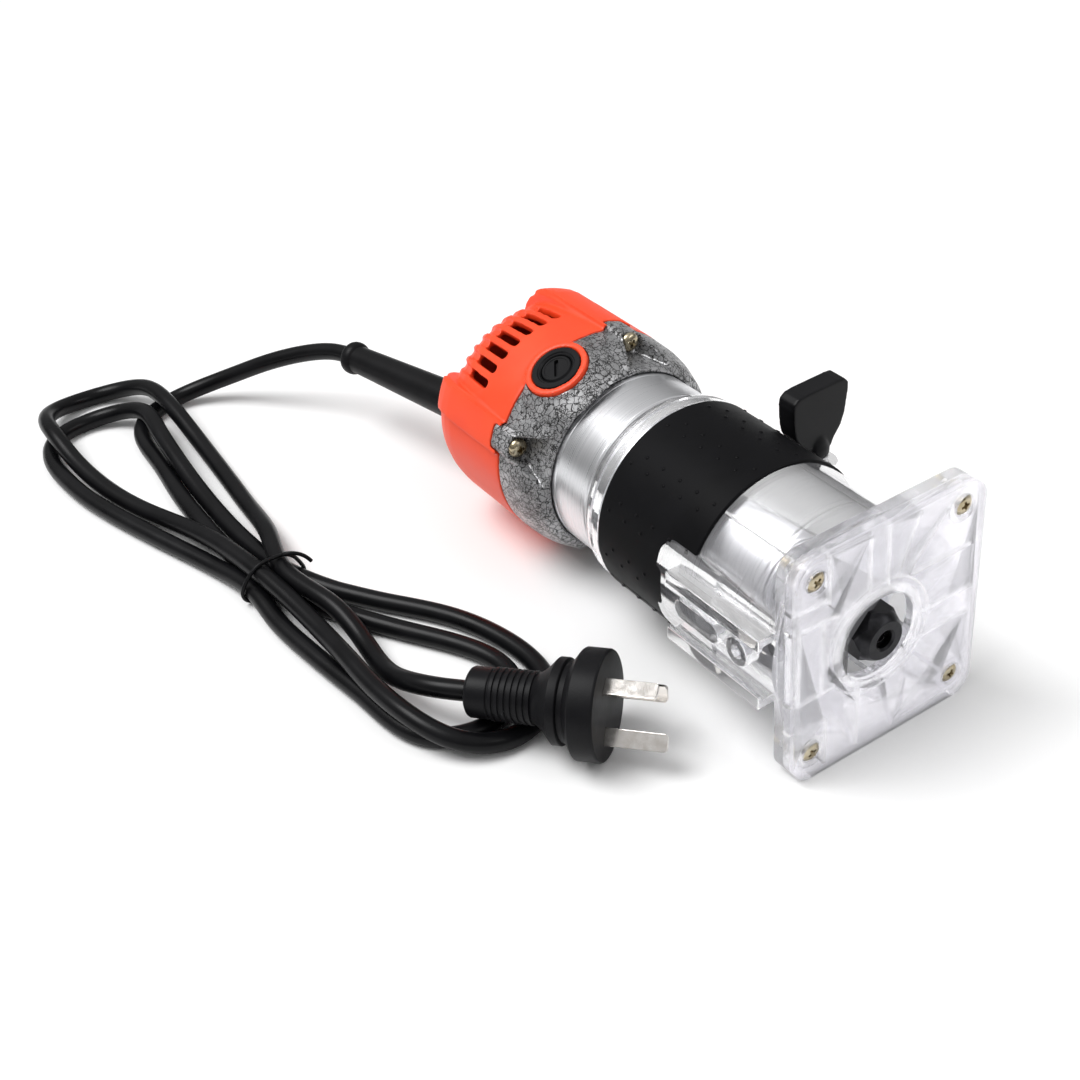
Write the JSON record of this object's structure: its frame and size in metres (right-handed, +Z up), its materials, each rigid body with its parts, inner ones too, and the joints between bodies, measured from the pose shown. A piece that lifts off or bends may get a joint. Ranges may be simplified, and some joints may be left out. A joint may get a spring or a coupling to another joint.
{
  "type": "trim router",
  "caption": "Corded trim router with an aluminium motor barrel, orange vented cap, rubber grip and a clear clamp-on base, lying on its side with its cord folded and tied.",
  "frame": {"origin": "centre of the router's box, without its cord, at the level of the surface that it lies on", "axes": "+X along the spindle and out of the sole plate, +Y towards the clamp knob, +Z up"},
  "size_m": [0.4008, 0.2218, 0.092],
  "materials": {
    "polished_aluminium": "satin",
    "crackle_paint": "satin",
    "orange_plastic": "satin",
    "black_plastic": "satin",
    "grip_rubber": "matte",
    "cord_rubber": "satin",
    "cord_jacket": "satin",
    "plug_plastic": "satin",
    "clear_plastic": "gloss",
    "zinc_screw": "polished",
    "steel": "satin",
    "black_oxide": "satin",
    "lamination": "satin",
    "copper": "satin",
    "brass": "satin",
    "carbon": "matte",
    "nickel": "polished"
  },
  "bodies": {
    "motor": {"motor_housing": "polished_aluminium", "front_cover": "polished_aluminium", "brush_housing": "crackle_paint", "end_cap": "orange_plastic", "bearing_bracket": "black_plastic", "case_screw_1": "zinc_screw", "case_screw_2": "zinc_screw", "case_screw_3": "zinc_screw", "case_screw_4": "zinc_screw", "stator_core": "lamination", "field_coil_upper": "copper", "field_coil_lower": "copper", "front_bearing_cage": "brass", "front_bearing_outer": "steel", "rear_bearing_cage": "brass", "rear_bearing_outer": "steel", "brush_holder_upper": "black_plastic", "brush_holder_lower": "black_plastic", "brush_spring_upper": "steel", "brush_spring_lower": "steel", "brush_cap_upper": "black_plastic", "brush_cap_lower": "black_plastic", "switch_body": "black_plastic", "cord_guard": "cord_rubber", "cord_run": "cord_jacket", "cord_hank": "cord_jacket", "cord_tie": "cord_rubber", "cord_lead": "cord_jacket", "plug_body": "plug_plastic", "plug_pin_left": "nickel", "plug_pin_right": "nickel", "plug_pin_earth": "nickel"},
    "rotor": {"spindle": "steel", "armature_core": "lamination", "winding_front": "copper", "winding_rear": "copper", "commutator": "copper", "fan": "black_plastic", "front_bearing_inner": "steel", "rear_bearing_inner": "steel", "collet": "steel"},
    "collet_nut": {"collet_nut": "black_oxide"},
    "base": {"base_body": "clear_plastic", "sub_base": "clear_plastic", "base_screw_1": "zinc_screw", "base_screw_2": "zinc_screw", "base_screw_3": "zinc_screw", "base_screw_4": "zinc_screw", "grip_sleeve": "grip_rubber", "clamp_nut": "steel"},
    "clamp": {"clamp_knob": "black_plastic", "clamp_stud": "steel", "clamp_washer": "steel"},
    "switch_rocker": {"switch_rocker": "black_plastic"},
    "carbon_brush_upper": {"carbon_brush_upper": "carbon"},
    "carbon_brush_lower": {"carbon_brush_lower": "carbon"}
  },
  "joints": [
    {"name": "rotor_spin", "type": "hinge", "parent": "motor", "child": "rotor", "pos_m": [0.1069, -0.0068, 0.046], "axis": [1, 0, 0], "continuous": true},
    {"name": "collet_nut_turn", "type": "hinge", "parent": "rotor", "child": "collet_nut", "pos_m": [0.1069, -0.0068, 0.046], "axis": [1, 0, 0], "range_deg": [0, 360]},
    {"name": "base_slide", "type": "slide", "parent": "motor", "child": "base", "axis": [1, 0, 0], "range_m": [-0.013, 0.025]},
    {"name": "clamp_turn", "type": "hinge", "parent": "base", "child": "clamp", "pos_m": [0.0229, 0.0382, 0.046], "axis": [0, 0, 1], "range_deg": [0, 360]},
    {"name": "switch_rock", "type": "hinge", "parent": "motor", "child": "switch_rocker", "pos_m": [-0.1016, 0.0022, 0.051], "axis": [0, 1, 0], "range_deg": [0, 16]},
    {"name": "brush_upper_press", "type": "slide", "parent": "motor", "child": "carbon_brush_upper", "axis": [0, -0.4226, 0.9063], "range_m": [0, 0.003], "stiffness_N_per_m": 100, "springref_m": -0.02, "deforming": ["brush_spring_upper"]},
    {"name": "brush_lower_press", "type": "slide", "parent": "motor", "child": "carbon_brush_lower", "axis": [0, 0.4226, -0.9063], "range_m": [0, 0.003], "stiffness_N_per_m": 100, "springref_m": -0.02, "deforming": ["brush_spring_lower"]}
  ]
}
